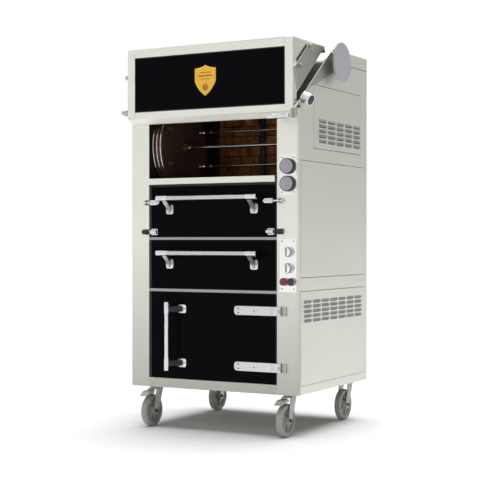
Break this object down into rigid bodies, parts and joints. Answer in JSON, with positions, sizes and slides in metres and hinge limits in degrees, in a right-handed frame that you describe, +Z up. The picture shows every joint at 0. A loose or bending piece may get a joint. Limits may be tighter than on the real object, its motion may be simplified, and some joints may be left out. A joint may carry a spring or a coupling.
{
  "type": "rotisserie oven",
  "caption": "Free-standing stainless rotisserie oven on casters with a lift-up visor, spit rotor, drop-down oven door, drawer and cupboard.",
  "frame": {"origin": "centre of the object's footprint on the floor", "axes": "+Z up, -Y to the front where the doors are, +X to the right as seen from the front"},
  "size_m": [1.044, 0.929, 1.945],
  "materials": {
    "steel": "brushed stainless sheet",
    "side_steel": "satin stainless sheet",
    "black_panel": "gloss black enamel",
    "black_glass": "opaque black glass",
    "chrome": "polished chrome",
    "dark_steel": "heat-darkened steel",
    "brick": "dark firebrick",
    "gold": "satin gold",
    "disc_grey": "light grey coat",
    "dial_grey": "grey moulded plastic",
    "red": "red moulded plastic",
    "zinc": "zinc grey",
    "tyre": "grey rubber"
  },
  "bodies": {
    "root": {"base_pan": "side_steel", "front_stiles": "steel", "front_rails": "steel", "inner_frame": "black_panel", "left_side_panel": "side_steel", "right_side_frame": "side_steel", "right_access_panels": "side_steel", "back_panel": "side_steel", "roof_panel": "steel", "chamber_liner": "dark_steel", "firebrick_wall": "brick", "burner_pipe": "dark_steel", "rotor_drive": "dark_steel", "oven_liner": "dark_steel", "oven_rack": "chrome", "lower_partitions": "side_steel", "stile_fittings": "chrome", "control_plates": "steel", "pivot_shafts": "dark_steel", "caster_tops": "zinc"},
    "visor": {"visor_shell": "steel", "visor_glass": "black_glass", "visor_badge": "gold", "visor_braces": "steel", "left_lift_arm": "steel", "right_lift_arm": "steel", "lever_grip": "chrome", "arm_weight": "chrome", "balance_disc": "disc_grey"},
    "rotor": {"spit_plates": "dark_steel", "rotor_shaft": "chrome"},
    "upper_spit": {"upper_spit": "chrome"},
    "lower_spit": {"lower_spit": "chrome"},
    "oven_door": {"oven_door_panel": "black_panel", "oven_door_handle": "chrome", "oven_door_fittings": "chrome"},
    "left_latch": {"left_latch_bolt": "chrome"},
    "right_latch": {"right_latch_bolt": "chrome"},
    "drawer": {"drawer_front": "black_panel", "drawer_tray": "side_steel", "drawer_handle": "chrome"},
    "cupboard_door": {"cupboard_door_panel": "black_panel", "cupboard_handle": "chrome", "strap_hinges": "chrome"},
    "upper_dial": {"upper_dial": "dial_grey"},
    "lower_dial": {"lower_dial": "dial_grey"},
    "upper_knob": {"upper_knob": "chrome"},
    "lower_knob": {"lower_knob": "chrome"},
    "start_button": {"start_button": "red"},
    "stop_button": {"stop_button": "red"},
    "front_left_swivel": {"front_left_fork": "zinc"},
    "front_left_wheel": {"front_left_wheel": "tyre"},
    "front_left_brake": {"front_left_brake": "zinc"},
    "front_right_swivel": {"front_right_fork": "zinc"},
    "front_right_wheel": {"front_right_wheel": "tyre"},
    "front_right_brake": {"front_right_brake": "zinc"},
    "rear_left_swivel": {"rear_left_fork": "zinc"},
    "rear_left_wheel": {"rear_left_wheel": "tyre"},
    "rear_right_swivel": {"rear_right_fork": "zinc"},
    "rear_right_wheel": {"rear_right_wheel": "tyre"}
  },
  "joints": [
    {"name": "visor_lift", "type": "hinge", "parent": "root", "child": "visor", "pos_m": [-0.009, 0.0295, 1.826], "axis": [-1, 0, 0], "range_deg": [0, 65]},
    {"name": "rotor_turn", "type": "hinge", "parent": "root", "child": "rotor", "pos_m": [-0.009, -0.0805, 1.425], "axis": [1, 0, 0], "continuous": true},
    {"name": "upper_spit_turn", "type": "hinge", "parent": "rotor", "child": "upper_spit", "pos_m": [-0.009, 0.07538, 1.515], "axis": [1, 0, 0], "continuous": true},
    {"name": "lower_spit_turn", "type": "hinge", "parent": "rotor", "child": "lower_spit", "pos_m": [-0.009, 0.07538, 1.335], "axis": [1, 0, 0], "continuous": true},
    {"name": "oven_door_drop", "type": "hinge", "parent": "root", "child": "oven_door", "pos_m": [-0.009, -0.3795, 0.984], "axis": [1, 0, 0], "range_deg": [0, 80]},
    {"name": "left_latch_pull", "type": "slide", "parent": "oven_door", "child": "left_latch", "axis": [1, 0, 0], "range_m": [0, 0.03]},
    {"name": "right_latch_pull", "type": "slide", "parent": "oven_door", "child": "right_latch", "axis": [-1, 0, 0], "range_m": [0, 0.03]},
    {"name": "drawer_slide", "type": "slide", "parent": "root", "child": "drawer", "axis": [0, -1, 0], "range_m": [0, 0.43]},
    {"name": "cupboard_door_swing", "type": "hinge", "parent": "root", "child": "cupboard_door", "pos_m": [0.369, -0.3775, 0], "axis": [0, 0, 1], "range_deg": [0, 110]},
    {"name": "upper_dial_turn", "type": "hinge", "parent": "root", "child": "upper_dial", "pos_m": [0.409, -0.3655, 1.294], "axis": [0, 1, 0], "range_deg": [0, 270]},
    {"name": "lower_dial_turn", "type": "hinge", "parent": "root", "child": "lower_dial", "pos_m": [0.409, -0.3655, 1.211], "axis": [0, 1, 0], "range_deg": [0, 270]},
    {"name": "upper_knob_turn", "type": "hinge", "parent": "root", "child": "upper_knob", "pos_m": [0.409, -0.3655, 0.887], "axis": [0, 1, 0], "range_deg": [0, 270]},
    {"name": "lower_knob_turn", "type": "hinge", "parent": "root", "child": "lower_knob", "pos_m": [0.409, -0.3655, 0.809], "axis": [0, 1, 0], "range_deg": [0, 270]},
    {"name": "start_button_press", "type": "slide", "parent": "root", "child": "start_button", "axis": [0, 1, 0], "range_m": [0, 0.005], "stiffness_N_per_m": 400},
    {"name": "stop_button_press", "type": "slide", "parent": "root", "child": "stop_button", "axis": [0, 1, 0], "range_m": [0, 0.005], "stiffness_N_per_m": 400},
    {"name": "front_left_swivel", "type": "hinge", "parent": "root", "child": "front_left_swivel", "pos_m": [-0.389, -0.2725, 0], "axis": [0, 0, 1], "continuous": true},
    {"name": "front_left_roll", "type": "hinge", "parent": "front_left_swivel", "child": "front_left_wheel", "pos_m": [-0.389, -0.3175, 0.08], "axis": [1, 0, 0], "continuous": true},
    {"name": "front_left_brake_press", "type": "hinge", "parent": "front_left_swivel", "child": "front_left_brake", "pos_m": [-0.389, -0.3255, 0.176], "axis": [1, 0, 0], "range_deg": [0, 10]},
    {"name": "front_right_swivel", "type": "hinge", "parent": "root", "child": "front_right_swivel", "pos_m": [0.371, -0.2725, 0], "axis": [0, 0, 1], "continuous": true},
    {"name": "front_right_roll", "type": "hinge", "parent": "front_right_swivel", "child": "front_right_wheel", "pos_m": [0.371, -0.3175, 0.08], "axis": [1, 0, 0], "continuous": true},
    {"name": "front_right_brake_press", "type": "hinge", "parent": "front_right_swivel", "child": "front_right_brake", "pos_m": [0.371, -0.3255, 0.176], "axis": [1, 0, 0], "range_deg": [0, 10]},
    {"name": "rear_left_swivel", "type": "hinge", "parent": "root", "child": "rear_left_swivel", "pos_m": [-0.389, 0.3995, 0], "axis": [0, 0, 1], "continuous": true},
    {"name": "rear_left_roll", "type": "hinge", "parent": "rear_left_swivel", "child": "rear_left_wheel", "pos_m": [-0.389, 0.3545, 0.08], "axis": [1, 0, 0], "continuous": true},
    {"name": "rear_right_swivel", "type": "hinge", "parent": "root", "child": "rear_right_swivel", "pos_m": [0.371, 0.3995, 0], "axis": [0, 0, 1], "continuous": true},
    {"name": "rear_right_roll", "type": "hinge", "parent": "rear_right_swivel", "child": "rear_right_wheel", "pos_m": [0.371, 0.3545, 0.08], "axis": [1, 0, 0], "continuous": true}
  ]
}
